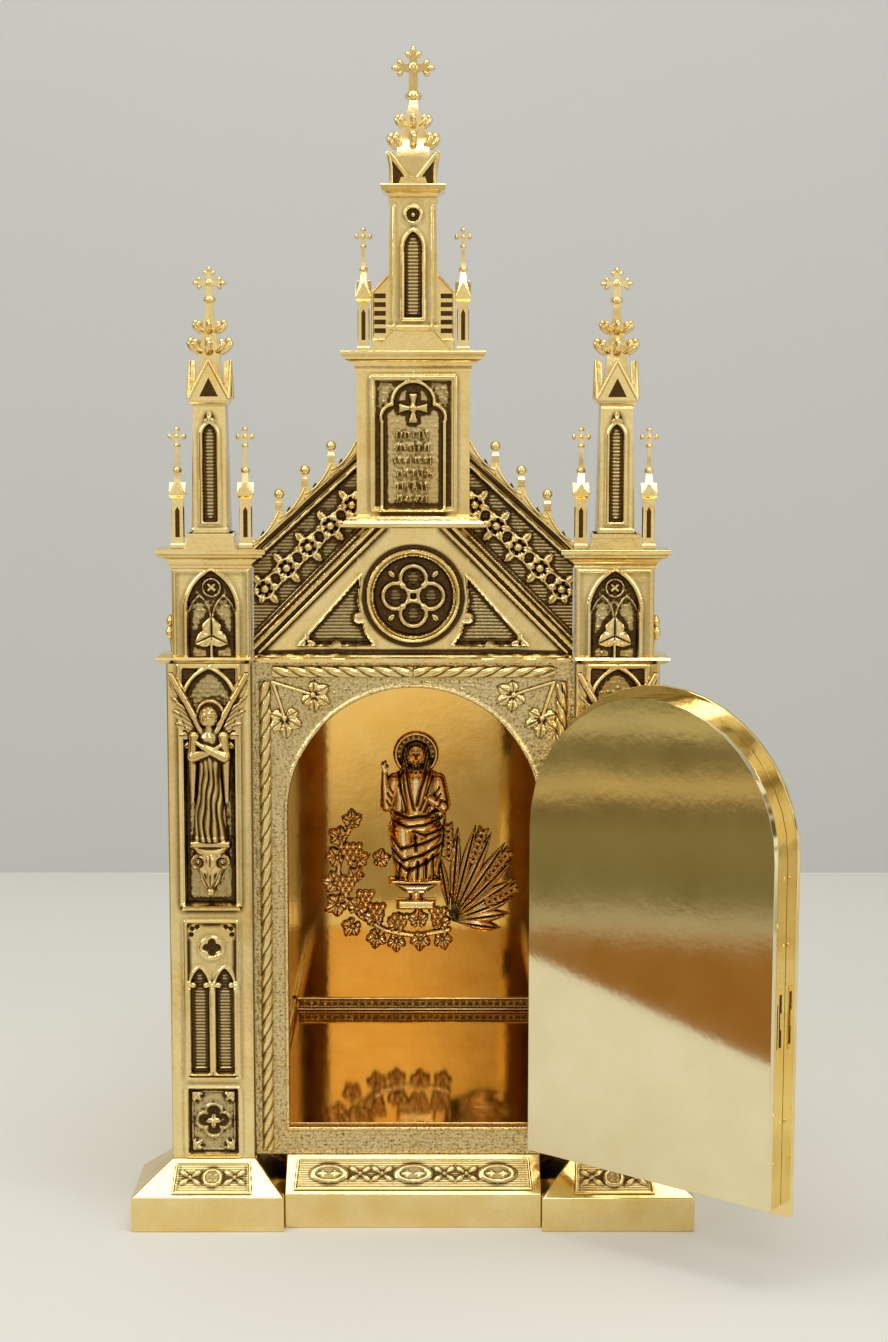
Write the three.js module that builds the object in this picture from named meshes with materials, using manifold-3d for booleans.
// Altar tabernacle of cast and sheet brass, built in millimetres with +Z up.
// The model is drawn with +X to the right of someone facing the door, +Y to the back and the
// front of the base at Y = 0. The last group moves the origin to the middle of its footprint.
import * as THREE from 'three';
import { mergeVertices } from 'three/addons/utils/BufferGeometryUtils.js';
import Module from 'manifold-3d';

const wasm = await Module();
wasm.setup();

// Gap kept between two pieces that are screwed or set against each other
const FIT = 0.3;

// Largest step that is smoothed away where faces of one plane meet
const FLAT = 0.002;

// Base blocks: upright face, hipped slope above it and the run of the slope on each side
const BASE_FACE_H = 26.5;
const BASE_SLOPE_H = 22.5;
const BASE_RUN_FRONT = 27.5;
const BASE_RUN_OUT = 29;
const BASE_RUN_IN = 23.5;
const BASE_RUN_BACK = 18.5;
const BASE_CENTRE_SET = 9;
const INLAY_RELIEF = 1.6;

// Piers and the bay between them
const BAY_W = 244;
const BAY_SET = 9.5;
const PIER_W = 64;
const PIER_D = 30;
const BORDER_T = 8;

// Carved fields of a pier: the niche is counted down from its top, the others up from the base
const NICHE_W = 39;
const NICHE_TOP = 24;
const NICHE_H = 161;
const NICHE_DEPTH = 6;
const WINDOW_W = 38.5;
const WINDOW_SILL = 64;
const WINDOW_GAP = 9;
const WINDOW_DEPTH = 3;
const SQUARE_W = 38.5;
const SQUARE_SILL = 3.5;
const SQUARE_DEPTH = 2.4;
const FILLET_H = 5;
const FILLET_OUT = 1.6;

// Angel on its corbel, in a pier's niche
const ANGEL_H = 103;
const CORBEL_H = 42;
const WING_SPAN = 61;
const WING_T = 3.4;

// Turret over each pier, with its string course and cornice
const STRING_H = 6;
const STRING_OUT = 3.5;
const TURRET_W = 59;
const TURRET_H = 70;
const TURRET_NICHE_W = 36;
const TURRET_NICHE_DEPTH = 4.5;
const IVY_W = 19;
const CORNICE_H = 10;
const CORNICE_OUT = 11.5;
const CORNICE_RISE = 12;
const CORNICE_MID_W = 40;

// Main pinnacle of a turret
const SHAFT_W = 28;
const SHAFT_TOP_W = 23.5;
const SHAFT_H = 98;
const GABLET_H = 30;
const SPIRE_H = 45.2;
const FINIAL_H = 27;
const FINIAL_W = 23;

// Small pinnacles beside the main one
const SMALL_OFFSET = 25.5;
const SMALL_W = 9.6;
const SMALL_SHAFT_H = 39;
const SMALL_CAP_H = 9;
const SMALL_SPIRE_H = 28.7;
const SMALL_FINIAL_H = 13;
const CAP_SPREAD = 1.3;

// Gable over the bay: slab, outer and inner coping, ringed rosette and cresting
const GABLE_T = 22;
const GABLE_SET = 12.5;
const GABLE_FOOT_H = 6.5;
const GABLE_UNDER = 4;
const COPING_FOOT_Z = 87;
const COPING_RISE = 72;
const COPING_W = 10;
const COPING_OUT = 6;
const INNER_FOOT_Z = 20;
const INNER_RISE = 79;
const INNER_W = 9;
const INNER_OUT = 8;
const ROSETTE_Z = 50;
const ROSETTE_R = 36;
const ROSETTE_RING = 6.5;
const LOBE_R = 12;
const LOBE_OFFSET = 12.5;
const TRACERY_W = 4;
const FRIEZE_LEAF_W = 20;
const SPIKE_H = 22;
const SPIKE_COUNT = 3;

// Tower over the gable
const TOWER_W = 84;
const TOWER_D = 40;
const TOWER_Z = 102;
const TOWER_SET = 2.5;
const TOWER_FOOT_H = 10;
const TOWER_FOOT_OUT = 12.5;
const TOWER_H = 106;
const TOWER_CORNICE_H = 15;
const TOWER_CORNICE_OUT = 12;
const TOWER_CORNICE_RISE = 15;
const TOWER_MID_W = 58;
const TOWER_MID_SLANT = 14;
const PANEL_W = 62;
const PANEL_FOOT = 3;
const PANEL_H = 99;
const PANEL_DEPTH = 3.6;
const STROKE_COUNT = 6;

// Spire shaft, crown and spire over the tower
const NECK_W = 38.5;
const NECK_TOP_W = 33.6;
const NECK_H = 96;
const CROWN_CORNICE_H = 10;
const CROWN_CORNICE_OUT = 7.5;
const CROWN_H = 25;
const TOP_SPIRE_H = 48.4;
const TOP_FINIAL_H = 31;
const TOP_FINIAL_W = 30;
const FLANK_H = 44;
const FLANK_FALL = 16;
const FLANK_T = 16;
const TOWER_PIN_OFFSET = 37.2;
const TOWER_PIN_W = 8.9;
const TOWER_PIN_SHAFT_H = 38;
const TOWER_PIN_SPIRE_H = 26.6;

// Rope mouldings of the bay
const ROPE_D = 9.4;
const ROPE_LAY = 39;
const ROPE_STRANDS = 3;
const ROPE_IN = 4.9;

// Two vine leaves in each top corner, counted in and down from where the ropes meet
const VINE_W = 25;
const VINE_HIGH_IN = 37;
const VINE_HIGH_DROP = 19;
const VINE_LOW_IN = 17;
const VINE_LOW_DROP = 38;

// Door opening
const FRAME_W = 26.2;
const SILL_H = 21.8;
const SPRING_H = 248;
const ARCH_OVER = 19.4;

// Chamber behind the opening
const BOX_GAP = 2;
const CHAMBER_D = 322;
const WALL_T = 8;
const FLOOR_OVER_SILL = 0.7;
const PLINTH_OUT = 10;
const GALLERY_H = 12;
const GALLERY_T = 3;
const GALLERY_TEETH = 16;
const GALLERY_BACK_TEETH = 12;

// Door: pan, front plate, ornament, hinges and lock
const DOOR_LAP = 9.7;
const DOOR_FOOT_LAP = 7.8;
const DOOR_DROP = 5;
const DOOR_GAP = 1;
const PAN_T = 17.5;
const PLATE_T = 4;
const PLATE_LIP = 8;
const DOOR_BEAD = 3.5;
const HINGE_IN = 3.8;
const HINGE_BACK = 18;
const HINGE_H = 34;
const HINGE_LOW = 52;
const HINGE_HIGH = 202;
const KNUCKLE_R = 4;
const PIN_R = 2;
const PIN_CLEAR = 0.3;
const LEAF_T = 1.4;
const BOLT_SLOT_H = 32;
const BOLT_SLOT_W = 4;
const BOLT_SLOT_Z = 130;
const KNOB_R = 9;
const EMBLEM_W = 12;
const DOOR_OPEN_DEG = 141;

// Applied relief on the back wall
const RELIEF_H = 206;
const RELIEF_FOOT = 60;
const RELIEF_T = 22;

// Places worked out from the sizes above
const BASE_H = BASE_FACE_H + BASE_SLOPE_H;
const PIER_FRONT = BASE_RUN_FRONT;
const PIER_BACK = PIER_FRONT + PIER_D;
const PIER_X = BAY_W / 2 + PIER_W / 2;
const BLOCK_BACK = PIER_BACK + BASE_RUN_BACK;
const BAY_FRONT = PIER_FRONT + BAY_SET;
const BORDER_BACK = BAY_FRONT + BORDER_T;
const OPEN_R = BAY_W / 2 - FRAME_W;
const SILL_Z = BASE_H + SILL_H;
const SPRING_Z = SILL_Z + SPRING_H;
const PIER_TOP = SPRING_Z + OPEN_R + ARCH_OVER;
const NICHE_SPRING_Z = PIER_TOP - NICHE_TOP;
const NICHE_SILL_Z = NICHE_SPRING_Z - NICHE_H;
const WINDOW_Z = BASE_H + WINDOW_SILL;
const WINDOW_H = NICHE_SILL_Z - FILLET_H - WINDOW_GAP - WINDOW_Z;
const TURRET_X = BAY_W / 2 + TURRET_W / 2;
const TURRET_Z = PIER_TOP + STRING_H;
const TURRET_TOP = TURRET_Z + TURRET_H;
const CORNICE_TOP = TURRET_TOP + CORNICE_H;
const MID_Y = (PIER_FRONT + PIER_BACK) / 2;
const GABLE_FRONT = PIER_FRONT + GABLE_SET;
const GABLE_BACK = GABLE_FRONT + GABLE_T;
const GABLE_HALF = BAY_W / 2 - 5 * FIT;
const TOWER_FOOT_Z = PIER_TOP + TOWER_Z;
const TOWER_FRONT = PIER_FRONT + TOWER_SET;
const TOWER_MID_Y = TOWER_FRONT + TOWER_D / 2;
const TOWER_BODY_Z = TOWER_FOOT_Z + TOWER_FOOT_H;
const TOWER_TOP = TOWER_BODY_Z + TOWER_H;
const TOWER_DECK = TOWER_TOP + TOWER_CORNICE_H;
const NECK_Z = TOWER_DECK + TOWER_CORNICE_RISE;
const FLOOR_Z = SILL_Z + FLOOR_OVER_SILL;
const BOX_FOOT = FLOOR_Z - WALL_T;
const BOX_X = BAY_W / 2 - BOX_GAP;
const CHAMBER_W = 2 * (BOX_X - WALL_T);
const CHAMBER_BACK = BORDER_BACK + CHAMBER_D;
const BOX_BACK = CHAMBER_BACK + WALL_T;
const FOOT_D = BOX_BACK + PLINTH_OUT;
const PAN_R = OPEN_R + DOOR_LAP;
const PAN_FOOT = SILL_Z - DOOR_FOOT_LAP;
const PAN_SPRING = SPRING_Z - DOOR_DROP;
const PAN_BACK = BAY_FRONT - DOOR_GAP;
const PAN_FRONT = PAN_BACK - PAN_T;
const HINGE_X = PAN_R - HINGE_IN;
const HINGE_Y = PAN_BACK - HINGE_BACK;

// Turns a closed geometry into a solid that can be cut and joined
function solid(geometry) {
  const bare = geometry.clone();
  bare.deleteAttribute('normal');
  bare.deleteAttribute('uv');
  const merged = mergeVertices(bare, 1e-4);
  const corners = merged.index.array;
  const faces = [];
  for (let i = 0; i < corners.length; i += 3) {
    const [a, b, c] = [corners[i], corners[i + 1], corners[i + 2]];
    if (a !== b && b !== c && c !== a) faces.push(a, b, c);
  }
  return new wasm.Manifold(new wasm.Mesh({
    numProp: 3,
    vertProperties: new Float32Array(merged.attributes.position.array),
    triVerts: new Uint32Array(faces),
  }));
}

// Joins a list of geometries and cuts a second list out of them
function join(parts, cuts = []) {
  let body = solid(parts[0]);
  for (const part of parts.slice(1)) body = body.add(solid(part));
  for (const cut of cuts) body = body.subtract(solid(cut));
  const mesh = body.simplify(FLAT).getMesh();
  const geometry = new THREE.BufferGeometry();
  geometry.setAttribute('position', new THREE.BufferAttribute(mesh.vertProperties, 3));
  geometry.setIndex(new THREE.BufferAttribute(mesh.triVerts, 1));
  return geometry;
}

// Box between two corners
function block(x0, x1, y0, y1, z0, z1) {
  const box = new THREE.BoxGeometry(x1 - x0, y1 - y0, z1 - z0);
  return box.translate((x0 + x1) / 2, (y0 + y1) / 2, (z0 + z1) / 2);
}

// Closed solid through rings of points that all hold the same number of points
function stack(rings) {
  const count = rings[0].length;
  const last = rings.length - 1;
  const points = rings.flat();
  const faces = [];
  for (let k = 0; k < last; k += 1) {
    for (let i = 0; i < count; i += 1) {
      const a = k * count + i;
      const b = k * count + (i + 1) % count;
      faces.push(a, b, b + count, a, b + count, a + count);
    }
  }
  for (let i = 1; i < count - 1; i += 1) {
    faces.push(0, i + 1, i);
    faces.push(last * count, last * count + i, last * count + i + 1);
  }
  const geometry = new THREE.BufferGeometry().setFromPoints(points);
  geometry.setIndex(faces);
  return geometry;
}

// Level ring of an upright form: half sizes rx and ry, with folds round it
function ring(z, rx, ry, { x = 0, y = 0, sides = 8, folds = 0, depth = 0, turn = 0 } = {}) {
  return Array.from({ length: sides }, (_, i) => {
    const angle = turn + i * 2 * Math.PI / sides;
    const swell = 1 + depth * Math.cos(folds * angle);
    return new THREE.Vector3(x + rx * swell * Math.cos(angle), y + ry * swell * Math.sin(angle), z);
  });
}

// Four-sided taper whose foot and head are rectangles about one upright axis
function taper(x, y, z0, z1, foot, head) {
  const corner = Math.PI / 4;
  const rings = [[z0, foot], [z1, head]].map(([z, half]) => ring(
    z, half[0] * Math.SQRT2, half[1] * Math.SQRT2, { x, y, sides: 4, turn: corner }));
  return stack(rings);
}

// Outline in X and Z, made solid from y0 back to y1
function prism(shape, y0, y1, segments = 4) {
  const body = new THREE.ExtrudeGeometry(shape, {
    depth: y1 - y0, bevelEnabled: false, curveSegments: segments });
  return body.rotateX(Math.PI / 2).translate(0, y1, 0);
}

// Outline in Y and Z, made solid from x0 to x1
function sidePrism(shape, x0, x1, segments = 4) {
  const body = new THREE.ExtrudeGeometry(shape, {
    depth: x1 - x0, bevelEnabled: false, curveSegments: segments });
  const turn = new THREE.Matrix4().makeBasis(
    new THREE.Vector3(0, 1, 0), new THREE.Vector3(0, 0, 1), new THREE.Vector3(1, 0, 0));
  return body.applyMatrix4(turn).translate(x0, 0, 0);
}

// Closed outline through points given as pairs
function outline(pairs) {
  return new THREE.Shape(pairs.map(([a, b]) => new THREE.Vector2(a, b)));
}

// Pointed arch from its sill, with straight sides up to the springing
function lancet(x, sill, width, spring, rise) {
  const half = width / 2;
  const shape = new THREE.Shape();
  shape.moveTo(x - half, sill);
  shape.lineTo(x + half, sill);
  shape.lineTo(x + half, spring);
  shape.quadraticCurveTo(x + half, spring + rise * 0.6, x, spring + rise);
  shape.quadraticCurveTo(x - half, spring + rise * 0.6, x - half, spring);
  return shape;
}

// Round-headed outline about the middle of the bay
function roundHead(radius, foot, spring) {
  const shape = new THREE.Shape();
  shape.moveTo(-radius, foot);
  shape.lineTo(radius, foot);
  shape.lineTo(radius, spring);
  shape.absarc(0, spring, radius, 0, Math.PI, false);
  return shape;
}

// Many-sided disc facing the front
function disc(x, z, radius, y0, y1, sides = 10) {
  const body = new THREE.CylinderGeometry(radius, radius, y1 - y0, sides);
  return body.translate(x, (y0 + y1) / 2, 0).translate(0, 0, z);
}

// Leaf or lobe facing the front: a ridged diamond of one length, width and thickness
function blade(x, y, z, length, width, thick, angle) {
  const body = new THREE.OctahedronGeometry(1, 0).scale(length / 2, thick, width / 2);
  return body.rotateY(-angle).translate(x, y, z);
}

// Leaf of several lobes spread about its middle
function lobedLeaf(x, y, z, size, lobes, spread, aim, thick) {
  return Array.from({ length: lobes }, (_, i) => {
    const angle = aim + spread * (i / (lobes - 1) - 0.5);
    const reach = size * 0.27;
    return blade(x + reach * Math.cos(angle), y, z + reach * Math.sin(angle),
      size * 0.56, size * 0.36, thick, angle);
  });
}

// Straight bar facing the front between two points, of one width
function bar(x0, z0, x1, z1, width, y0, y1) {
  const along = new THREE.Vector2(x1 - x0, z1 - z0).normalize().multiplyScalar(width / 2);
  return prism(outline([
    [x0 + along.y, z0 - along.x], [x1 + along.y, z1 - along.x],
    [x1 - along.y, z1 + along.x], [x0 - along.y, z0 + along.x],
  ]), y0, y1);
}

// Limb through points with a radius at each, in rings square to its run
function limb(points, radii, sides = 6) {
  const path = new THREE.CatmullRomCurve3(points.map((p) => new THREE.Vector3(...p)));
  const last = points.length - 1;
  const rings = points.map((_, k) => {
    const centre = path.getPoint(k / last);
    const along = path.getTangent(k / last);
    const side = new THREE.Vector3(0, 1, 0).cross(along).normalize();
    const up = new THREE.Vector3().crossVectors(along, side);
    return Array.from({ length: sides }, (_, i) => {
      const angle = i * 2 * Math.PI / sides;
      return centre.clone()
        .addScaledVector(side, radii[k] * Math.cos(angle))
        .addScaledVector(up, radii[k] * Math.sin(angle));
    });
  });
  return stack(rings);
}

// Ball with few faces
function ball(x, y, z, radius, across = 8, down = 5) {
  return new THREE.SphereGeometry(radius, across, down).rotateX(Math.PI / 2).translate(x, y, z);
}

// Cross on a knop, from z0 up over the height given, with leafy or plain arms
function finial(x, y, z0, height, width, thick, leafy = true) {
  const arm = width / 2;
  const stem = width * 0.08;
  const lobe = width * 0.15;
  const middle = z0 + height - arm;
  const tip = leafy ? [
    [arm - lobe * 1.7, stem], [arm - lobe * 1.2, stem + lobe], [arm, 0],
    [arm - lobe * 1.2, -stem - lobe], [arm - lobe * 1.7, -stem], [stem, -stem],
  ] : [[arm, stem + lobe / 2], [arm, -stem - lobe / 2], [stem, -stem]];
  const turned = [0, 1, 2].flatMap((k) => {
    const angle = Math.PI - k * Math.PI / 2;
    return tip.map(([a, b]) => [
      x + a * Math.cos(angle) - b * Math.sin(angle), middle + a * Math.sin(angle) + b * Math.cos(angle),
    ]);
  });
  turned.push([x + stem, z0], [x - stem, z0], [x - stem, middle - stem]);
  const knop = new THREE.OctahedronGeometry(width * 0.26, 0).scale(1, 1, 0.7);
  return [
    prism(outline(turned), y - thick / 2, y + thick / 2),
    knop.translate(x, y, z0 + height * 0.14),
  ];
}

// Crossing gabled caps over a square shaft
function crossGable(x, y, z, half, rise) {
  const roof = (c) => outline([[c - half, z], [c + half, z], [c, z + rise]]);
  return [
    prism(roof(x), y - half, y + half),
    sidePrism(roof(y), x - half, x + half),
  ];
}

// Leafy knobs in tiers up the four edges of a spire
function crockets(x, y, z, half, size, tiers, pitch) {
  const parts = [];
  for (let t = 0; t < tiers; t += 1) {
    for (let k = 0; k < 4; k += 1) {
      const angle = k * Math.PI / 2;
      const reach = half[t];
      parts.push(new THREE.OctahedronGeometry(1, 0).scale(size, size, size * 0.8)
        .translate(x + reach * Math.cos(angle), y + reach * Math.sin(angle), z + t * pitch));
    }
  }
  return parts;
}

// Small pinnacle: square shaft, capped head, spirelet, knop and cross
function smallPinnacle(x, y, z, width, shaft, cap, spire, tip) {
  const half = width * Math.SQRT1_2;
  const eave = z + shaft;
  const neck = eave + cap;
  const steps = [
    [z, 1], [eave, 0.88], [eave, CAP_SPREAD], [eave + cap * 0.25, CAP_SPREAD], [neck, 0.55],
    [neck + spire, 0.16],
  ];
  const body = stack(steps.map(([level, share], k) => ring(level + (k === 2 ? FIT : 0),
    half * share, half * share, { x, y, sides: 4, turn: Math.PI / 4 })));
  return join([body, ...finial(x, y, neck + spire - 2, tip + 2, width * 1.15, 3, false)]);
}

// Foliage panel drawn on the plane of a base slope and laid on it
function onSlope(parts, front, shift) {
  const slope = Math.atan2(BASE_SLOPE_H, BASE_RUN_FRONT);
  const turn = new THREE.Matrix4().makeBasis(
    new THREE.Vector3(1, 0, 0),
    new THREE.Vector3(0, Math.sin(slope), -Math.cos(slope)),
    new THREE.Vector3(0, Math.cos(slope), Math.sin(slope)));
  return parts.map((part) => part.clone().applyMatrix4(turn).translate(shift, front, BASE_FACE_H));
}

// Oval medallion with a leaf to each of its four corners, flat on the slope
function medallion(x, v, rx, rz, leaf, rows) {
  const oval = disc(0, 0, 1, -INLAY_RELIEF, 1, 10).scale(rx, 1, rz).translate(x, 0, v);
  const leaves = [];
  for (const sx of [-1, 1]) {
    for (const sz of rows) {
      const angle = Math.atan2(sz * leaf * 0.42, sx * leaf);
      leaves.push(blade(x + sx * (rx + leaf * 0.42), 0, v + sz * rz * 0.62,
        leaf * 1.1, leaf * 0.34, INLAY_RELIEF, angle));
    }
  }
  return [oval, ...leaves];
}

// Base block under one pier
function basePier(side) {
  const inner = BAY_W / 2 - BASE_RUN_IN;
  const outer = BAY_W / 2 + PIER_W + BASE_RUN_OUT;
  const [x0, x1] = side < 0 ? [-outer, -inner] : [inner, outer];
  const [t0, t1] = side < 0 ? [-BAY_W / 2 - PIER_W, -BAY_W / 2] : [BAY_W / 2, BAY_W / 2 + PIER_W];
  const slope = stack([
    [[x0, 0], [x1, 0], [x1, BLOCK_BACK], [x0, BLOCK_BACK]]
      .map(([x, y]) => new THREE.Vector3(x, y, BASE_FACE_H)),
    [[t0, PIER_FRONT], [t1, PIER_FRONT], [t1, PIER_BACK], [t0, PIER_BACK]]
      .map(([x, y]) => new THREE.Vector3(x, y, BASE_H)),
  ]);
  const reach = Math.hypot(BASE_RUN_FRONT, BASE_SLOPE_H);
  const inlay = medallion(0, reach * 0.46, 6.5, 5.2, 19, [-1, 1]);
  return join([
    block(x0, x1, 0, BLOCK_BACK, 0, BASE_FACE_H + FIT / 3),
    slope,
    ...onSlope(inlay, 0, (t0 + t1) / 2),
  ]);
}

// Base block under the bay, between the pier blocks
function baseCentre() {
  const half = BAY_W / 2 - BASE_RUN_IN - FIT;
  const profile = outline([
    [BASE_CENTRE_SET, 0], [BORDER_BACK, 0], [BORDER_BACK, BASE_H],
    [BASE_CENTRE_SET + BASE_RUN_FRONT, BASE_H], [BASE_CENTRE_SET, BASE_FACE_H],
  ]);
  const reach = Math.hypot(BASE_RUN_FRONT, BASE_SLOPE_H);
  const inlay = [-1, 0, 1].flatMap((k) => medallion(k * half * 0.56, reach * 0.46, 12, 5, 16, [0]));
  return join([sidePrism(profile, -half, half), ...onSlope(inlay, BASE_CENTRE_SET, 0)]);
}

// Plain plinth that carries the chamber behind the base blocks
function rearPlinth() {
  const half = BOX_X + PLINTH_OUT;
  const front = BLOCK_BACK + FIT;
  const chamfer = PLINTH_OUT * 0.8;
  const low = BOX_FOOT - FIT;
  const rings = [[0, 0], [low - chamfer, 0], [low, chamfer]].map(([z, inset]) => [
    [-half + inset, front], [half - inset, front],
    [half - inset, FOOT_D - inset], [-half + inset, FOOT_D - inset],
  ].map(([x, y]) => new THREE.Vector3(x, y, z)));
  const arm = block(-BAY_W / 2 + BASE_RUN_IN, BAY_W / 2 - BASE_RUN_IN,
    BORDER_BACK + FIT, front + FIT, 0, low - chamfer);
  return join([stack(rings)], [arm]);
}

// Pier casting with its niche, blind window, fillet and square panel
function pier(side) {
  const x = side * PIER_X;
  const foot = BASE_H + FIT;
  const light = WINDOW_W / 2 - 3;
  const squareMid = BASE_H + SQUARE_SILL + SQUARE_W * 0.675;
  const body = block(x - PIER_W / 2 + FIT, x + PIER_W / 2 - FIT,
    PIER_FRONT, PIER_BACK, foot, PIER_TOP - FIT);
  const fillet = block(x - NICHE_W / 2 - 3, x + NICHE_W / 2 + 3, PIER_FRONT - FILLET_OUT,
    PIER_FRONT + 1, NICHE_SILL_Z - FILLET_H, NICHE_SILL_Z);
  const cuts = [
    prism(lancet(x, NICHE_SILL_Z + 1, NICHE_W, NICHE_SPRING_Z, NICHE_TOP - 2),
      PIER_FRONT - 5, PIER_FRONT + NICHE_DEPTH, 3),
    disc(x, WINDOW_Z + WINDOW_H * 0.84, 6.2, PIER_FRONT - 1, PIER_FRONT + WINDOW_DEPTH, 8),
  ];
  for (const k of [-1, 1]) {
    const lx = x + k * WINDOW_W / 4;
    cuts.push(prism(lancet(lx, WINDOW_Z + 3, light * 0.86, WINDOW_Z + WINDOW_H * 0.58, 14),
      PIER_FRONT - 1, PIER_FRONT + WINDOW_DEPTH, 2));
    const sx = x + k * WINDOW_W * 0.5;
    cuts.push(prism(outline([
      [sx, WINDOW_Z + WINDOW_H], [sx, WINDOW_Z + WINDOW_H * 0.78],
      [x + k * WINDOW_W * 0.17, WINDOW_Z + WINDOW_H],
    ]), PIER_FRONT - 1, PIER_FRONT + WINDOW_DEPTH));
  }
  const square = block(x - SQUARE_W / 2, x + SQUARE_W / 2, PIER_FRONT - 1,
    PIER_FRONT + SQUARE_DEPTH, squareMid - SQUARE_W * 0.64, squareMid + SQUARE_W * 0.64);
  const flower = [0, 1, 2, 3].map((k) => disc(x + 6 * Math.cos(k * Math.PI / 2),
    squareMid + 6 * Math.sin(k * Math.PI / 2), 5.6, PIER_FRONT, PIER_FRONT + SQUARE_DEPTH + 1, 6));
  return join([join([body, fillet], [...cuts, square]), ...flower]);
}

// Standing robed angel with raised wings, on a pendant corbel, set in a pier's niche
function angel(side) {
  const x = side * PIER_X;
  const h = ANGEL_H;
  const foot = NICHE_SILL_Z + CORBEL_H + 7;
  const ground = PIER_FRONT + NICHE_DEPTH - FIT;
  const axis = PIER_FRONT + 1;
  const robe = stack([
    [0, 0.13, 0.1], [0.3, 0.105, 0.09], [0.56, 0.088, 0.08], [0.78, 0.125, 0.09], [0.86, 0.045, 0.05],
  ].map(([z, rx, ry], k) => ring(foot + z * h, rx * h, ry * h,
    { x, y: axis, sides: 10, folds: 5, depth: k < 3 ? 0.13 : 0 })));
  const root = foot + h * 0.74;
  const half = WING_SPAN / 2;
  const wings = prism(outline([
    [x - h * 0.02, root - h * 0.1], ...[1, -1].flatMap((k) => {
      const feathers = [
        [x + k * h * 0.13, root - h * 0.12], [x + k * half * 0.66, root + h * 0.03],
        [x + k * half * 0.92, root + h * 0.3], [x + k * half, foot + h * 1.25],
        [x + k * half * 0.74, root + h * 0.34], [x + k * h * 0.09, root + h * 0.16],
      ];
      return k > 0 ? feathers : feathers.reverse();
    }),
  ]), PIER_FRONT - FIT - WING_T, PIER_FRONT - FIT);
  const arms = [-1, 1].map((k) => limb([
    [x + k * h * 0.125, axis - h * 0.03, foot + h * 0.76],
    [x + k * h * 0.1, axis - h * 0.085, foot + h * 0.6],
    [x - k * h * 0.06, axis - h * 0.095, foot + h * (0.68 + k * 0.015)],
  ], [4.4, 3.8, 2.6], 4));
  const corbel = stack([
    [-1, 1.5], [-0.75, 7], [-0.42, 15.5], [0.01, 14],
  ].map(([z, r]) => ring(foot + z * CORBEL_H, r, r * 0.8, { x, y: axis + 1.5, sides: 6 })));
  const behind = block(x - PIER_W, x + PIER_W, ground, ground + ANGEL_H, BASE_H, foot + 2 * ANGEL_H);
  return join([
    robe, wings, ...arms, corbel, ball(x, axis - h * 0.03, foot + h * 0.93, h * 0.075, 6, 5),
    disc(x + h * 0.12, foot + h * 0.95, h * 0.08, PIER_FRONT - FIT - WING_T - 1, PIER_FRONT - FIT, 6),
  ], [behind]);
}

// Turret over a pier: string course, traceried niche, ivy leaves and stepped cornice
function turret(side) {
  const x = side * TURRET_X;
  const half = TURRET_W / 2;
  const outer = side * (BAY_W / 2 + PIER_W);
  const mid = CORNICE_MID_W / 2;
  const step = CORNICE_OUT / 3;
  const string = block(Math.min(side * BAY_W / 2, outer + side * STRING_OUT),
    Math.max(side * BAY_W / 2, outer + side * STRING_OUT),
    PIER_FRONT - STRING_OUT, PIER_BACK, PIER_TOP, TURRET_Z);
  const body = block(x - half, x + half, PIER_FRONT + 1.5, PIER_BACK, TURRET_Z - FIT, TURRET_TOP);
  const cornice = [0.4, 0.7, 1].map((share, k) => {
    const out = CORNICE_OUT * share;
    const low = TURRET_TOP - 4 + k * step;
    const rise = CORNICE_RISE * (k === 2 ? 1 : 0.55);
    return prism(outline([
      [x - half - out, low], [x + half + out, low], [x + half + out, CORNICE_TOP],
      [x + mid, CORNICE_TOP], [x + mid - 3, CORNICE_TOP + rise],
      [x - mid + 3, CORNICE_TOP + rise], [x - mid, CORNICE_TOP], [x - half - out, CORNICE_TOP],
    ]), PIER_FRONT + 1.5 - out * 0.5, PIER_BACK);
  });
  const sill = TURRET_Z + 1;
  const cuts = [-1, 1].map((k) => prism(
    lancet(x + k * TURRET_NICHE_W * 0.25, sill, TURRET_NICHE_W * 0.44, sill + TURRET_H * 0.4,
      TURRET_H * 0.24),
    PIER_FRONT - 1, PIER_FRONT + TURRET_NICHE_DEPTH, 2));
  cuts.push(disc(x, sill + TURRET_H * 0.785, TURRET_NICHE_W * 0.195, PIER_FRONT - 1,
    PIER_FRONT + TURRET_NICHE_DEPTH, 8));
  const leafZ = sill + TURRET_H * 0.25;
  const leaf = lobedLeaf(x, PIER_FRONT + 3, leafZ, IVY_W, 3, Math.PI * 1.25, Math.PI / 2, 4);
  const sideLeaf = lobedLeaf(0, 0, leafZ, IVY_W, 3, Math.PI * 1.25, Math.PI / 2, 5.5)
    .map((part) => part.rotateZ(Math.PI / 2).translate(x + side * half, MID_Y, 0));
  const stem = block(x - 1, x + 1, PIER_FRONT + 1, PIER_FRONT + TURRET_NICHE_DEPTH + 1,
    sill - 1, leafZ - IVY_W / 4);
  const bay = block(-BAY_W / 2, BAY_W / 2, GABLE_FRONT - 5 * FIT - COPING_OUT, PIER_BACK + 1,
    PIER_TOP - 1, CORNICE_TOP + 1);
  return join([join([string, body, ...cornice], cuts), ...leaf, stem, ...sideLeaf], [bay]);
}

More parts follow.
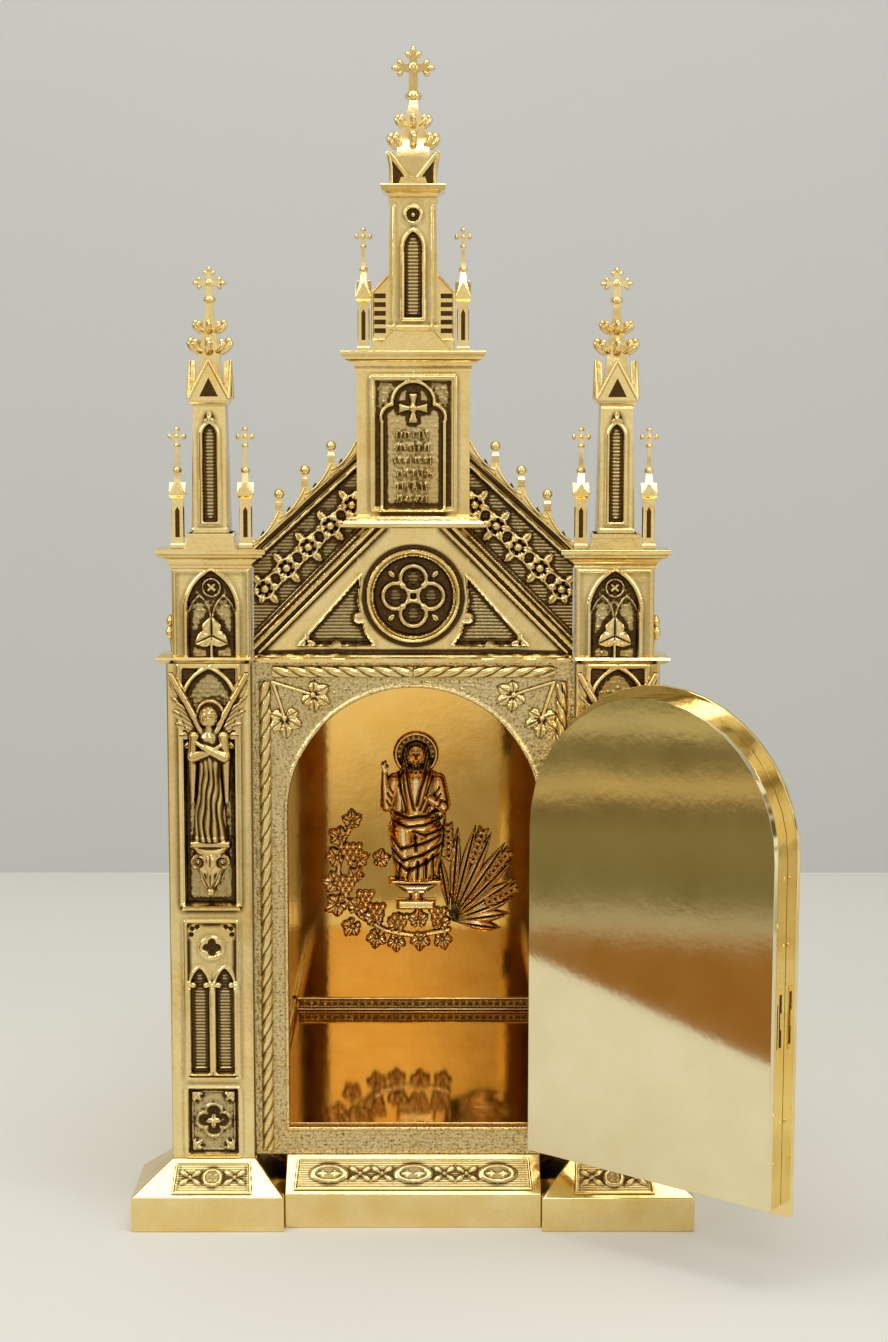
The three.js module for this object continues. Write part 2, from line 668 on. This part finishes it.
// Main pinnacle: tapering shaft with a blind lancet, gabled cap, crocketed spire and cross
function pinnacle(side) {
  const x = side * TURRET_X;
  const foot = CORNICE_TOP + CORNICE_RISE + FIT;
  const eave = foot + SHAFT_H;
  const half = SHAFT_W / 2;
  const apex = eave + GABLET_H;
  const spireTop = apex + SPIRE_H;
  const slit = prism(lancet(x, foot + SHAFT_H * 0.08, half * 0.7, eave - SHAFT_H * 0.18, half * 0.6), MID_Y - SHAFT_W,
    MID_Y - half * 0.74, 2);
  const dark = prism(outline([[x - half * 0.45, eave + half * 0.14], [x + half * 0.45, eave + half * 0.14],
    [x, eave + GABLET_H * 0.55]]), MID_Y - SHAFT_W, MID_Y - half * 0.82);
  return join([
    taper(x, MID_Y, foot, eave + FIT, [half, half], [SHAFT_TOP_W / 2, SHAFT_TOP_W / 2]),
    block(x - half, x + half, MID_Y - half, MID_Y + half, eave - SHAFT_H * 0.03, eave),
    ...crossGable(x, MID_Y, eave - FIT, half * 0.98, GABLET_H),
    taper(x, MID_Y, eave + GABLET_H * 0.3, spireTop, [half * 0.72, half * 0.72],
      [half * 0.115, half * 0.115]),
    ...crockets(x, MID_Y, apex + SPIRE_H * 0.25, [half * 0.75, half * 0.57], half * 0.33, 2,
      SPIRE_H * 0.32),
    ...finial(x, MID_Y, spireTop - SPIRE_H * 0.09, FINIAL_H, FINIAL_W, FINIAL_W * 0.2),
  ], [slit, dark]);
}

// Height of a raking line of the gable at one distance from the middle
function rake(x, footZ, rise) {
  const run = GABLE_HALF - TOWER_W / 2;
  return PIER_TOP + footZ + rise * (GABLE_HALF - Math.abs(x)) / run;
}

// One raking band of the gable, from the turret to the tower
function rakingBand(side, footZ, rise, width, front, back) {
  const far = side * GABLE_HALF;
  const near = side * (TOWER_W / 2 - GABLE_UNDER);
  return prism(outline([
    [far, rake(far, footZ, rise)], [near, rake(near, footZ, rise)],
    [near, rake(near, footZ, rise) - width], [far, rake(far, footZ, rise) - width],
  ]), front, back);
}

// Quatrefoil ring: four lobes about one middle, each open to where it meets its neighbours
function quatrefoil(x, z, radius, offset, band) {
  const trace = (path, r) => {
    const meet = (offset * Math.SQRT2 + Math.sqrt(4 * r * r - 2 * offset * offset)) / 2;
    const open = Math.atan2(meet / Math.SQRT2, meet / Math.SQRT2 - offset);
    for (let k = 0; k < 4; k += 1) {
      const aim = k * Math.PI / 2;
      path.absarc(x + offset * Math.cos(aim), z + offset * Math.sin(aim), r,
        aim - open, aim + open, false);
    }
    return path;
  };
  const shape = trace(new THREE.Shape(), radius + band);
  shape.holes.push(trace(new THREE.Path(), radius));
  return shape;
}

// Gable slab with copings, tracery, leaf frieze, ringed rosette and cresting
function gable() {
  const foot = PIER_TOP + FIT;
  const top = (x) => rake(x, COPING_FOOT_Z, COPING_RISE);
  const half = GABLE_HALF;
  const notch = TOWER_W / 2 - GABLE_UNDER;
  const slab = prism(outline([
    [-half, foot], [half, foot], [half, top(half)], [notch, top(notch)],
    [-notch, top(notch)], [-half, top(half)],
  ]), GABLE_FRONT, GABLE_BACK);
  const well = prism(outline([
    [-half * 0.785, foot + INNER_RISE * 0.127], [half * 0.785, foot + INNER_RISE * 0.127],
    [0, foot + half * 0.867],
  ]), GABLE_FRONT - 1, GABLE_FRONT + 3);
  const ringHole = new THREE.Path().absarc(0, PIER_TOP + ROSETTE_Z, ROSETTE_R - ROSETTE_RING,
    0, 2 * Math.PI, false);
  const ringShape = new THREE.Shape().absarc(0, PIER_TOP + ROSETTE_Z, ROSETTE_R,
    0, 2 * Math.PI, false);
  ringShape.holes.push(ringHole);
  const parts = [
    block(-half, half, GABLE_FRONT - GABLE_SET + 3, GABLE_BACK, foot, PIER_TOP + GABLE_FOOT_H),
    prism(ringShape, GABLE_FRONT - 5, GABLE_FRONT + 4, 10),
    prism(quatrefoil(0, PIER_TOP + ROSETTE_Z, LOBE_R - 2.2, LOBE_OFFSET, 3.6),
      GABLE_FRONT - 2.5, GABLE_FRONT + 4, 2),
  ];
  for (const side of [-1, 1]) {
    parts.push(rakingBand(side, COPING_FOOT_Z, COPING_RISE, COPING_W * 1.3,
      GABLE_FRONT - COPING_OUT, GABLE_BACK + 3));
    parts.push(rakingBand(side, INNER_FOOT_Z, INNER_RISE, INNER_W * 1.35,
      GABLE_FRONT - INNER_OUT, GABLE_FRONT + 1));
    for (let k = 0; k < 4; k += 1) {
      const x = side * half * (0.884 - k * 0.149);
      const z = (rake(x, COPING_FOOT_Z, COPING_RISE) + rake(x, INNER_FOOT_Z, INNER_RISE)
        - COPING_W) / 2;
      parts.push(blade(x, GABLE_FRONT, z, FRIEZE_LEAF_W, FRIEZE_LEAF_W * 0.65, 3.5,
        side * Math.PI * (k % 2 ? 0.02 : -0.4)));
    }
    for (const [xShare, zShare] of [[0.365, 0.835], [0.274, 0.418]]) {
      parts.push(bar(side * half * 0.718, foot + INNER_RISE * 0.152, side * half * xShare,
        foot + INNER_RISE * zShare, TRACERY_W, GABLE_FRONT - 2, GABLE_FRONT + 4));
    }
    parts.push(...cresting(side));
  }
  const tower = block(-TOWER_W / 2 - FIT, TOWER_W / 2 + FIT, 0, GABLE_BACK + PIER_D,
    TOWER_FOOT_Z - FIT, TOWER_TOP);
  const skirt = block(-TOWER_W / 2 - TOWER_FOOT_OUT - FIT, TOWER_W / 2 + TOWER_FOOT_OUT + FIT,
    0, GABLE_FRONT + 2, TOWER_FOOT_Z - FIT, TOWER_BODY_Z + FIT);
  return join([join([slab], [well]), ...parts], [tower, skirt]);
}

// Scalloped cresting along one rake, with balled spikes at its points
function cresting(side) {
  const reach = GABLE_HALF - TOWER_W / 2;
  const pitch = reach / (SPIKE_COUNT + 1);
  const front = MID_Y - 3;
  const parts = [];
  for (let k = 0; k <= SPIKE_COUNT; k += 1) {
    const low = side * (GABLE_HALF - k * pitch);
    const high = side * (GABLE_HALF - (k + 1) * pitch);
    const [zl, zh] = [rake(low, COPING_FOOT_Z, COPING_RISE), rake(high, COPING_FOOT_Z, COPING_RISE)];
    const crest = outline([
      [low, zl - 3], [high, zh - 3], [high, zh + 9], [high + side * pitch * 0.3, zh + 1],
      [high + side * pitch * 0.65, (zl + zh) / 2 - 1], [low, zl + 5],
    ]);
    parts.push(prism(crest, front, front + 5));
    if (k < SPIKE_COUNT) {
      const foot = [high, front + 2.5, zh + 4];
      parts.push(taper(foot[0], foot[1], zh - 2, zh + SPIKE_H, [2.4, 2.4], [1.1, 1.1]));
      parts.push(new THREE.OctahedronGeometry(3.6, 0).translate(foot[0], foot[1], zh + SPIKE_H));
    }
  }
  return parts;
}

// Tower with an arched panel, foot moulding and stepped cornice
function tower() {
  const half = TOWER_W / 2;
  const foot = TOWER_FOOT_Z;
  const back = TOWER_FRONT + TOWER_D;
  const mid = TOWER_MID_W / 2;
  const sill = TOWER_BODY_Z + PANEL_FOOT;
  const spring = sill + PANEL_H * 0.72;
  const ground = TOWER_FRONT + PANEL_DEPTH;
  const steps = [0.5, 1].map((share) => block(
    -half - TOWER_FOOT_OUT * share, half + TOWER_FOOT_OUT * share,
    TOWER_FRONT - 6 * share, GABLE_FRONT + 1,
    foot + (1 - share) * TOWER_FOOT_H, foot + TOWER_FOOT_H * (1.4 - share * 0.8)));
  const cornice = [0.4, 0.7, 1].map((share, k) => {
    const out = TOWER_CORNICE_OUT * share;
    const rise = TOWER_CORNICE_RISE * (k === 2 ? 1 : 0.6);
    return prism(outline([
      [-half - out, TOWER_TOP + k * TOWER_CORNICE_H / 3.2],
      [half + out, TOWER_TOP + k * TOWER_CORNICE_H / 3.2],
      [half + out, TOWER_DECK], [mid, TOWER_DECK], [mid - TOWER_MID_SLANT, TOWER_DECK + rise],
      [TOWER_MID_SLANT - mid, TOWER_DECK + rise], [-mid, TOWER_DECK], [-half - out, TOWER_DECK],
    ]), TOWER_FRONT - out * 0.5, back);
  });
  const niche = [
    prism(lancet(0, sill, PANEL_W * 0.72, spring, PANEL_H * 0.26), TOWER_FRONT - 1, ground, 3),
    disc(0, spring + PANEL_H * 0.08, PANEL_W * 0.27, TOWER_FRONT - 1, ground, 10),
  ];
  const cross = [0, Math.PI / 2].map((turn) => blade(0, ground, spring + 5, 24, 8, 3, turn));
  const strokes = Array.from({ length: STROKE_COUNT }, (_, k) => {
    const z = sill + 8 + k * PANEL_H * 0.095;
    const reach = PANEL_W * (k % 2 ? 0.22 : 0.27);
    return bar(-reach, z, reach, z, 2.4, ground - 1.6, ground + 1);
  });
  return join([
    join([block(-half, half, TOWER_FRONT, back, foot + 1, TOWER_TOP + 1), ...steps, ...cornice],
      niche),
    ...cross, disc(0, spring + 5, 3.6, ground - 3, ground + 1, 8), ...strokes,
  ]);
}

// Shaft, louvred flanks, crown of gablets and crocketed spire over the tower
function towerSpire() {
  const foot = NECK_Z + FIT;
  const half = NECK_W / 2;
  const topHalf = NECK_TOP_W / 2;
  const eave = foot + NECK_H;
  const deck = eave + CROWN_CORNICE_H;
  const crown = deck + CROWN_H;
  const spireTop = crown + TOP_SPIRE_H * 0.82;
  const y = TOWER_MID_Y;
  const slit = [
    prism(lancet(0, foot + NECK_H * 0.1, half * 0.62, eave - NECK_H * 0.31, NECK_H * 0.094),
      y - NECK_W, y - half * 0.74, 2),
    disc(0, eave - NECK_H * 0.1, half * 0.26, y - NECK_W, y - half * 0.74, 8),
  ];
  const low = TOWER_DECK + FIT;
  const inner = half * 0.8;
  const reach = TOWER_PIN_OFFSET - TOWER_PIN_W * CAP_SPREAD / 2 - FIT;
  const flanks = [];
  const louvres = [];
  for (const side of [-1, 1]) {
    flanks.push(prism(outline([
      [side * inner, foot + 2], [side * (TOWER_MID_W / 2 - TOWER_MID_SLANT + FIT), foot + 2],
      [side * (TOWER_MID_W / 2 + FIT), low],
      [side * reach, low], [side * reach, low + FLANK_H], [side * inner, low + FLANK_H + FLANK_FALL],
    ]), y - FLANK_T / 2, y + FLANK_T / 2));
    for (let k = 0; k < 3; k += 1) {
      const z = low + FLANK_H * (0.34 + k * 0.25);
      louvres.push(block(...(side < 0 ? [-reach + 2, -half - 1] : [half + 1, reach - 2]),
        y - FLANK_T, y - FLANK_T / 2 + 2.5, z, z + FLANK_H * 0.137));
    }
  }
  const cornice = [0.5, 1].map((share) => {
    const out = topHalf + CROWN_CORNICE_OUT * share;
    return block(-out, out, y - out, y + out, eave + (share - 0.5) * CROWN_CORNICE_H, deck);
  });
  const petals = [];
  for (let k = 0; k < 4; k += 1) {
    const flare = new THREE.Shape([
      [2, 0], [topHalf * 0.8, 0], [topHalf * 0.85, CROWN_H * 0.5], [topHalf * 1.2, CROWN_H],
      [topHalf * 0.55, CROWN_H * 0.75], [2, CROWN_H * 0.75],
    ].map(([a, b]) => new THREE.Vector2(a, deck - FIT + b)));
    const petal = prism(flare, -topHalf * 0.5, topHalf * 0.5)
      .rotateZ(k * Math.PI / 2).translate(0, y, 0);
    petals.push(petal);
  }
  const spire = stack([[deck, 0.75], [crown - 4, 0.72], [crown + 8, 0.6], [spireTop, 0.12]]
    .map(([z, share]) => ring(z, topHalf * share * 1.25, topHalf * share * 1.25,
      { y, sides: 4, turn: Math.PI / 4 })));
  return join([
    taper(0, y, foot, eave + FIT, [half, half], [topHalf, topHalf]),
    ...flanks, ...cornice, ...petals, spire,
    ...crockets(0, y, crown + 6, [13, 8.5], 4.8, 2, 14),
    ...finial(0, y, spireTop - 4, TOP_FINIAL_H + 9, TOP_FINIAL_W, 5),
  ], [...slit, ...louvres]);
}

// Sheet border round the door opening
function frontBorder() {
  const half = BAY_W / 2 - FIT;
  const shape = outline([
    [-half, BASE_H + FIT], [half, BASE_H + FIT], [half, PIER_TOP - FIT], [-half, PIER_TOP - FIT],
  ]);
  const hole = new THREE.Path();
  hole.moveTo(-OPEN_R, SILL_Z);
  hole.lineTo(OPEN_R, SILL_Z);
  hole.lineTo(OPEN_R, SPRING_Z);
  hole.absarc(0, SPRING_Z, OPEN_R, 0, Math.PI, false);
  shape.holes.push(hole);
  return join([prism(shape, BAY_FRONT, BORDER_BACK, 18)]);
}

// Half-round rope moulding along a straight run, its strands turning one way
function rope(from, to, hand) {
  const back = BAY_FRONT - FIT;
  const start = new THREE.Vector3(from[0], back, from[1]);
  const along = new THREE.Vector3(to[0], back, to[1]).sub(start);
  const length = along.length();
  along.normalize();
  const side = new THREE.Vector3(0, 1, 0).cross(along);
  const front = new THREE.Vector3(0, -1, 0);
  const steps = Math.round(1.5 * length * ROPE_STRANDS / ROPE_LAY);
  const rings = Array.from({ length: steps + 1 }, (_, k) => {
    const s = length * k / steps;
    const turn = hand * 2 * Math.PI * s / ROPE_LAY;
    return [3, 2, 1, 0].map((i) => {
      const angle = i * Math.PI / 3;
      const bulge = 0.86 + 0.14 * Math.cos(ROPE_STRANDS * (angle - turn));
      return start.clone().addScaledVector(along, s)
        .addScaledVector(side, ROPE_D / 2 * bulge * Math.cos(angle))
        .addScaledVector(front, ROPE_D / 2 * bulge * Math.sin(angle));
    });
  });
  return join([stack(rings)]);
}

// Two vine leaves on a forked stem, in one top corner of the bay
function vineLeaves(side) {
  const ropeX = BAY_W / 2 - ROPE_IN - ROPE_D / 2;
  const ropeZ = PIER_TOP - ROPE_IN / 2 - ROPE_D / 2;
  const y = BAY_FRONT - FIT;
  const high = [side * (ropeX - VINE_HIGH_IN), ropeZ - VINE_HIGH_DROP];
  const low = [side * (ropeX - VINE_LOW_IN), ropeZ - VINE_LOW_DROP];
  const parts = [
    ...lobedLeaf(high[0], y, high[1], VINE_W, 5, Math.PI * 1.35, side < 0 ? -0.5 : Math.PI + 0.5,
      4.5),
    ...lobedLeaf(low[0], y, low[1], VINE_W, 5, Math.PI * 1.35, -Math.PI / 2 - side * 0.1, 4.5),
    bar(side * (ropeX - ROPE_D * 0.64), ropeZ - ROPE_D * 0.85, high[0], high[1], 2.4, y - 2.6, y),
    bar(side * (ropeX - ROPE_D), ropeZ - ROPE_D, low[0], low[1], 2.4, y - 2.6, y),
    disc(high[0], high[1], 3.4, y - 5, y, 6),
    disc(low[0], low[1], 3.4, y - 5, y, 6),
  ];
  const behind = block(-BAY_W, BAY_W, y, y + ROPE_D * 2, SPRING_Z, PIER_TOP + ROPE_D);
  return join(parts, [behind]);
}

// Toothed strip along the foot of a wall of the chamber, drawn on the back wall's line
function galleryStrip(length, teeth) {
  const pitch = length / teeth;
  const pairs = [[-length / 2, 0]];
  pairs.push([length / 2, 0]);
  for (let k = 0; k < teeth; k += 1) {
    const x = length / 2 - k * pitch;
    pairs.push([x, GALLERY_H * 0.78], [x - pitch * 0.5, GALLERY_H]);
  }
  pairs.push([-length / 2, GALLERY_H * 0.78]);
  return prism(outline(pairs), 0, GALLERY_T);
}

// Seated blessing figure on a pedestal, with a crescent of vine and a fan of wheat blades
function backRelief() {
  const h = RELIEF_H;
  const foot = FLOOR_Z + RELIEF_FOOT;
  const wall = CHAMBER_BACK - FIT;
  const y = wall - RELIEF_T * 0.42;
  const at = (dx, dz, dy = 0) => [dx * h, y - dy * h, foot + dz * h];
  const figure = stack([
    [0.35, 0.14, 0.05], [0.47, 0.12, 0.058], [0.6, 0.12, 0.055], [0.68, 0.09, 0.04],
    [0.8, 0.1, 0.036], [0.86, 0.035, 0.02],
  ].map(([z, rx, ry], k) => ring(foot + z * h, rx * h, ry * h,
    { y, sides: 10, folds: 5, depth: k < 2 ? 0.12 : 0 })));
  const bowl = stack([[0.02, 0.08], [0.08, 0.03], [0.24, 0.03], [0.3, 0.14], [0.33, 0.14]]
    .map(([z, r]) => ring(foot + z * h, r * h, Math.min(r * 0.5 * h, RELIEF_T * 0.4),
      { y, sides: 8 })));
  const halo = new THREE.Shape().absarc(0, 0, h * 0.1, 0, 2 * Math.PI, false);
  halo.holes.push(new THREE.Path().absarc(0, 0, h * 0.062, 0, 2 * Math.PI, false));
  const nimbus = prism(halo, y - 2, y + 2, 5).translate(0, 0, foot + h * 0.9);
  const leaves = Array.from({ length: 10 }, (_, k) => {
    const angle = Math.PI * (0.86 + k * 0.08);
    const reach = k % 2 ? 0.37 : 0.3;
    return blade(reach * h * Math.cos(angle), y, foot + h * (0.4 + 0.36 * Math.sin(angle)),
      h * 0.14, h * 0.1, RELIEF_T * 0.38, angle + (k % 2 ? 0.9 : -0.6));
  });
  const stem = new THREE.Shape().absarc(0, foot + h * 0.42, h * 0.37, Math.PI * 0.84,
    Math.PI * 2.05, false);
  stem.absarc(0, foot + h * 0.42, h * 0.33, Math.PI * 2.05, Math.PI * 0.84, true);
  const blades = Array.from({ length: 5 }, (_, k) => {
    const lean = 0.1 + k * 0.2;
    return blade(h * (0.2 + 0.11 * Math.sin(lean) + k * 0.01), y,
      foot + h * (0.14 + 0.24 * Math.cos(lean)), h * (0.5 - k * 0.036), h * 0.055,
      RELIEF_T * 0.3, Math.PI / 2 - lean);
  });
  const behind = block(-CHAMBER_W, CHAMBER_W, wall, wall + RELIEF_T * 2, FLOOR_Z, PIER_TOP);
  return join([
    figure, bowl, nimbus, ...leaves, ...blades, prism(stem, y, wall, 5),
    ball(...at(0, 0.89, 0.02), h * 0.05, 6, 5),
    limb([at(-0.08, 0.8), at(-0.13, 0.68, 0.03), at(-0.14, 0.83, 0.04)], [5, 4.2, 3], 4),
    limb([at(0.08, 0.8), at(0.13, 0.66, 0.03), at(0.03, 0.68, 0.06)], [5, 4.2, 3], 4),
    block(-h * 0.04, h * 0.04, y, wall, foot + h * 0.1, foot + h * 0.92),
  ], [behind]);
}

// Closed outline of a hinge's room in the door: heights of its foot and head
function hingeSpan(k) {
  const low = BASE_H + (k === 0 ? HINGE_LOW : HINGE_HIGH);
  return [low, low + HINGE_H];
}

// Round upright bar on the hinge line
function hingeRound(radius, z0, z1, sides = 12) {
  const body = new THREE.CylinderGeometry(radius, radius, z1 - z0, sides).rotateX(Math.PI / 2);
  return body.translate(HINGE_X, HINGE_Y, (z0 + z1) / 2);
}

// Door pan with its hinge recesses, knuckles and the slot of its bolt
function doorPan() {
  const body = prism(roundHead(PAN_R, PAN_FOOT, PAN_SPRING), PAN_FRONT, PAN_BACK, 10);
  const slot = block(-PAN_R - 1, -PAN_R + 4, PAN_FRONT + PAN_T * 0.45 - BOLT_SLOT_W / 2,
    PAN_FRONT + PAN_T * 0.45 + BOLT_SLOT_W / 2, BASE_H + BOLT_SLOT_Z,
    BASE_H + BOLT_SLOT_Z + BOLT_SLOT_H);
  const room = [];
  const webs = [];
  for (const k of [0, 1]) {
    const [z0, z1] = hingeSpan(k);
    const third = HINGE_H / 3;
    room.push(block(HINGE_X - KNUCKLE_R - 3, PAN_R + 1, PAN_FRONT - 1, HINGE_Y + KNUCKLE_R + 8,
      z0 - 2 * FIT, z1 + 2 * FIT));
    webs.push(hingeRound(KNUCKLE_R, z0 + third + FIT, z1 - third - FIT));
    webs.push(block(HINGE_X - KNUCKLE_R - 6, HINGE_X, HINGE_Y + 1, HINGE_Y + KNUCKLE_R,
      z0 + third + FIT, z1 - third - FIT));
  }
  const bores = [0, 1].map((k) => {
    const [z0, z1] = hingeSpan(k);
    return hingeRound(PIN_R + PIN_CLEAR, z0, z1);
  });
  return join([join([body], [slot, ...room]), ...webs], bores);
}

// Larger plate on the front of the pan, with a beaded margin and an open room at each hinge
function doorPlate() {
  const y1 = PAN_FRONT - FIT;
  const y0 = y1 - PLATE_T;
  const body = prism(roundHead(PAN_R + PLATE_LIP, PAN_FOOT - PLATE_LIP, PAN_SPRING), y0, y1, 10);
  const bead = roundHead(PAN_R - 2, PAN_FOOT + 2, PAN_SPRING);
  const inner = roundHead(PAN_R - 8, PAN_FOOT + 8, PAN_SPRING);
  bead.holes.push(new THREE.Path(inner.getPoints(10)));
  const room = [0, 1].map((k) => {
    const [z0, z1] = hingeSpan(k);
    return block(HINGE_X - KNUCKLE_R - 3, PAN_R + PLATE_LIP + 1, y0 - DOOR_BEAD - 1, y1 + 1,
      z0 - 2 * FIT, z1 + 2 * FIT);
  });
  return join([body, prism(bead, y0 - DOOR_BEAD, y0 + 1, 10)], room);
}

// Plain cross on the outside of the door
function doorEmblem() {
  const y1 = PAN_FRONT - 2 * FIT - PLATE_T;
  const arm = PAN_R * 0.5;
  const stem = EMBLEM_W / 2;
  const flare = stem * 1.8;
  const z = PAN_SPRING - PAN_R * 0.1;
  return join([prism(outline([
    [-flare, z + arm], [-stem, z + stem], [-arm, z + flare], [-arm, z - flare], [-stem, z - stem],
    [-flare, z - 2 * arm], [flare, z - 2 * arm], [stem, z - stem], [arm, z - flare],
    [arm, z + flare], [stem, z + stem], [flare, z + arm],
  ]), y1 - DOOR_BEAD, y1)]);
}

// Keyhole plate and pull knob on the free side of the door
function doorKnob() {
  const y1 = PAN_FRONT - FIT - PLATE_T - FIT;
  const x = -PAN_R + 26;
  const z = BASE_H + BOLT_SLOT_Z + BOLT_SLOT_H / 2;
  const keyhole = disc(x, z - 14, 2.4, y1 - 10, y1 - 1, 8);
  return join([
    disc(x, z, KNOB_R * 1.5, y1 - 2, y1, 8),
    disc(x, z - 15, KNOB_R, y1 - 2, y1, 8),
    disc(x, z, KNOB_R * 0.4, y1 - 8, y1, 6),
    ball(x, y1 - 10, z, KNOB_R * 0.8, 8, 5),
  ], [keyhole]);
}

// Fixed half of one hinge: leaf between door and rope, two ears and the pin
function hinge(k) {
  const [z0, z1] = hingeSpan(k);
  const third = HINGE_H / 3;
  const leafX = PAN_R + FIT + 0.15;
  const leaf = block(leafX, leafX + LEAF_T, HINGE_Y - FIT, BAY_FRONT - FIT, z0, z1);
  const ears = [[z0, z0 + third - FIT], [z1 - third + FIT, z1]].flatMap(([a, b]) => [
    hingeRound(KNUCKLE_R, a, b),
    block(HINGE_X, leafX + LEAF_T / 2, HINGE_Y - KNUCKLE_R, HINGE_Y + KNUCKLE_R, a, b),
  ]);
  return join([leaf, ...ears, hingeRound(PIN_R, z0 + 1, z1 - 1)]);
}

const BRASS = { color: 0xbb9447, roughness: 0.28, metalness: 1 };
const DARK_BRASS = { color: 0x8f6d2c, roughness: 0.4, metalness: 1 };
const GILT = { color: 0xc28a2c, roughness: 0.12, metalness: 1 };
const MIRROR = { color: 0xcdb377, roughness: 0.1, metalness: 1 };
const STEEL = { color: 0x9b8a5c, roughness: 0.35, metalness: 1 };

// Mesh with its name and finish, added to a group
function piece(group, name, geometry, finish) {
  const mesh = new THREE.Mesh(geometry, new THREE.MeshStandardMaterial(finish));
  mesh.name = name;
  group.add(mesh);
  return mesh;
}

// Pieces that come once for each side
function sides(group) {
  for (const [side, word] of [[-1, 'left'], [1, 'right']]) {
    piece(group, `base_pier_${word}`, basePier(side), BRASS);
    piece(group, `pier_${word}`, pier(side), BRASS);
    piece(group, `angel_${word}`, angel(side), DARK_BRASS);
    piece(group, `turret_${word}`, turret(side), BRASS);
    piece(group, `pinnacle_${word}`, pinnacle(side), BRASS);
    for (const [away, where] of [[-1, 'inner'], [1, 'outer']]) {
      const x = side * (TURRET_X + away * SMALL_OFFSET);
      piece(group, `small_pinnacle_${word}_${where}`, smallPinnacle(x, MID_Y, CORNICE_TOP + FIT,
        SMALL_W, SMALL_SHAFT_H, SMALL_CAP_H, SMALL_SPIRE_H, SMALL_FINIAL_H), BRASS);
    }
    piece(group, `tower_pinnacle_${word}`, smallPinnacle(side * TOWER_PIN_OFFSET, TOWER_MID_Y,
      TOWER_DECK + FIT, TOWER_PIN_W, TOWER_PIN_SHAFT_H, SMALL_CAP_H * 1.4, TOWER_PIN_SPIRE_H,
      SMALL_FINIAL_H), BRASS);
    piece(group, `vine_leaves_${word}`, vineLeaves(side), DARK_BRASS);
    const ropeX = side * (BAY_W / 2 - ROPE_IN - ROPE_D / 2);
    piece(group, `rope_${word}`, rope([ropeX, BASE_H + 4], [ropeX, PIER_TOP - ROPE_IN - ROPE_D],
      side), BRASS);
    piece(group, `side_wall_${word}`, block(
      ...(side < 0 ? [-BOX_X, -CHAMBER_W / 2] : [CHAMBER_W / 2, BOX_X]),
      BORDER_BACK + FIT, CHAMBER_BACK - FIT, FLOOR_Z + FIT, PIER_TOP - WALL_T - FIT), GILT);
    const strip = galleryStrip(CHAMBER_D - 4 * GALLERY_T, GALLERY_TEETH)
      .rotateZ(side * Math.PI / 2)
      .translate(side * (CHAMBER_W / 2 - FIT), BORDER_BACK + CHAMBER_D / 2, FLOOR_Z + FIT);
    piece(group, `gallery_${word}`, strip, GILT);
  }
}

// Pieces in the middle: base, gable, tower, border, rope and chamber
function middle(group) {
  piece(group, 'base_centre', baseCentre(), BRASS);
  piece(group, 'rear_plinth', rearPlinth(), BRASS);
  piece(group, 'gable', gable(), BRASS);
  piece(group, 'tower', tower(), BRASS);
  piece(group, 'tower_spire', towerSpire(), BRASS);
  piece(group, 'front_border', frontBorder(), BRASS);
  const half = BAY_W / 2 - ROPE_IN - ROPE_D - 1;
  const ropeZ = PIER_TOP - ROPE_IN / 2 - ROPE_D / 2;
  piece(group, 'rope_top', rope([-half, ropeZ], [half, ropeZ], 1), BRASS);
  piece(group, 'back_wall', block(-BOX_X, BOX_X, CHAMBER_BACK, BOX_BACK,
    FLOOR_Z + FIT, PIER_TOP - WALL_T - FIT), GILT);
  piece(group, 'chamber_floor', block(-BOX_X, BOX_X, BORDER_BACK + FIT, BOX_BACK,
    BOX_FOOT, FLOOR_Z), GILT);
  piece(group, 'roof', block(-BOX_X, BOX_X, BORDER_BACK + FIT, BOX_BACK,
    PIER_TOP - WALL_T, PIER_TOP), BRASS);
  const strip = galleryStrip(CHAMBER_W - 2 * GALLERY_T - 4 * FIT, GALLERY_BACK_TEETH)
    .translate(0, CHAMBER_BACK - GALLERY_T - FIT, FLOOR_Z + FIT);
  piece(group, 'gallery_back', strip, GILT);
  piece(group, 'back_relief', backRelief(), DARK_BRASS);
}

// Door, swung on its hinge line to the angle at which the photo shows it
function door(group) {
  const leaf = new THREE.Group();
  piece(leaf, 'door_pan', doorPan().translate(-HINGE_X, -HINGE_Y, 0), MIRROR);
  piece(leaf, 'door_plate', doorPlate().translate(-HINGE_X, -HINGE_Y, 0), BRASS);
  piece(leaf, 'door_emblem', doorEmblem().translate(-HINGE_X, -HINGE_Y, 0), DARK_BRASS);
  piece(leaf, 'door_knob', doorKnob().translate(-HINGE_X, -HINGE_Y, 0), BRASS);
  leaf.position.set(HINGE_X, HINGE_Y, 0);
  leaf.rotation.z = THREE.MathUtils.degToRad(DOOR_OPEN_DEG);
  group.add(leaf);
  piece(group, 'hinge_lower', hinge(0), STEEL);
  piece(group, 'hinge_upper', hinge(1), STEEL);
}

const tabernacle = new THREE.Group();
tabernacle.name = 'altar_tabernacle';
sides(tabernacle);
middle(tabernacle);
door(tabernacle);
tabernacle.position.y = -FOOT_D / 2;

export default tabernacle;
